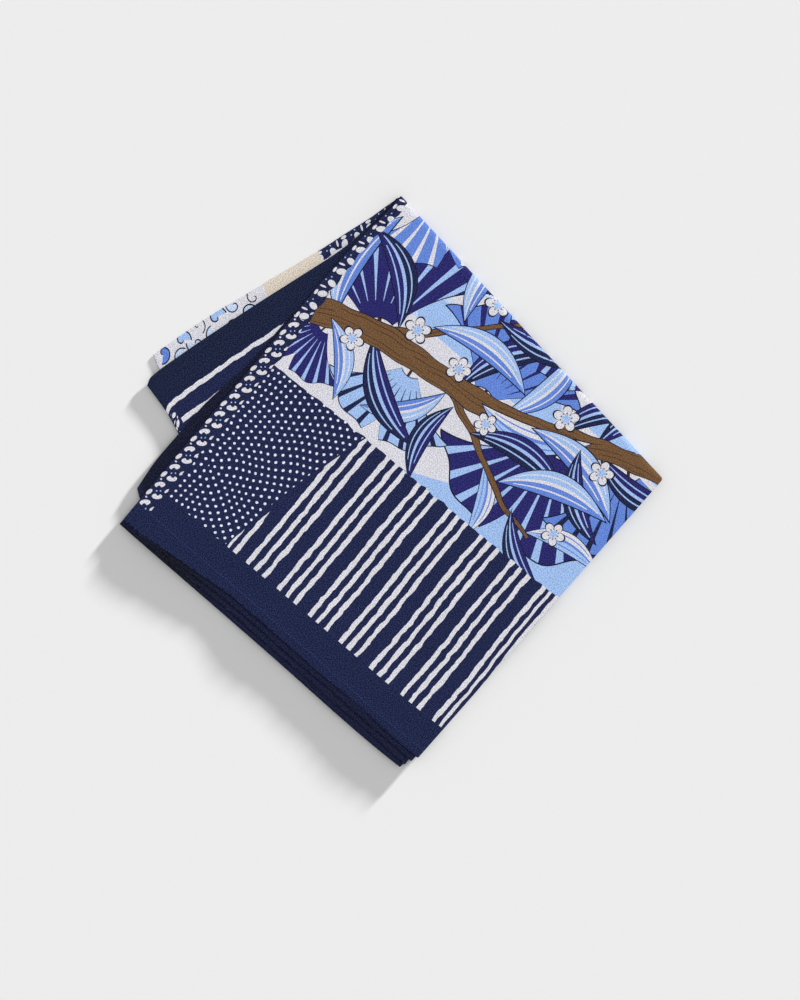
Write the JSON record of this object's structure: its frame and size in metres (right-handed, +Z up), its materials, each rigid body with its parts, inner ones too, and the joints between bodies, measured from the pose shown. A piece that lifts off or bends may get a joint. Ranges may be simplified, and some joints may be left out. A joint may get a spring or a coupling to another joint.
{
  "type": "folded cotton handkerchief",
  "caption": "Hemmed square cotton handkerchief folded in four, its layers fanned out at one side.",
  "frame": {"origin": "middle of the bounding box at the surface that the folded cloth lies on", "axes": "+X along the front hem towards the side fold, +Y from the front hem towards the back fold, +Z up"},
  "size_m": [0.3144, 0.2914, 0.0082],
  "materials": {
    "printed_cotton": "matt plain-woven printed cotton"
  },
  "bodies": {
    "root": {"handkerchief": "printed_cotton"}
  },
  "joints": []
}
